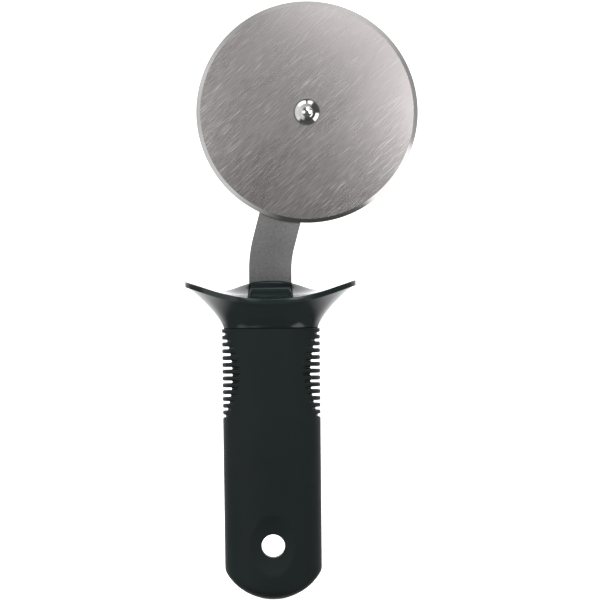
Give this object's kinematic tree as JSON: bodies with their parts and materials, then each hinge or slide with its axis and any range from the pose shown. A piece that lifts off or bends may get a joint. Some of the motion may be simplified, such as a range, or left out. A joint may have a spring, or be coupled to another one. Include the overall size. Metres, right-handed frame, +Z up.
{
  "type": "pizza cutter wheel",
  "caption": "Hand-held rolling cutter: round steel wheel riveted to a cranked flat arm, oval thumb guard and soft finned handle with a hanging hole.",
  "frame": {"origin": "centre of the hanging hole, in the middle of the handle's depth", "axes": "+Z up the handle towards the wheel, +Y out of the handle's back through the hanging hole; the wheel's face looks towards -Y"},
  "size_m": [0.1078, 0.044, 0.2738],
  "materials": {
    "wheel_steel": "brushed",
    "polished_steel": "polished",
    "arm_steel": "satin",
    "pin_steel": "turned",
    "bush_nylon": "moulded",
    "guard_gloss": "gloss",
    "core_plastic": "moulded",
    "grip_rubber": "matte"
  },
  "bodies": {
    "handle": {"arm": "arm_steel", "axle_rivet": "polished_steel", "spacer_washer": "bush_nylon", "tail_washer": "polished_steel", "thumb_guard": "guard_gloss", "handle_core": "core_plastic", "tang_pin_1": "pin_steel", "tang_pin_2": "pin_steel", "grip": "grip_rubber"},
    "wheel": {"cutting_wheel": "wheel_steel", "wheel_bush": "bush_nylon"}
  },
  "joints": [
    {"name": "wheel_spin", "type": "hinge", "parent": "handle", "child": "wheel", "pos_m": [0.01771, -0.003, 0.1986], "axis": [0, 1, 0], "continuous": true}
  ]
}
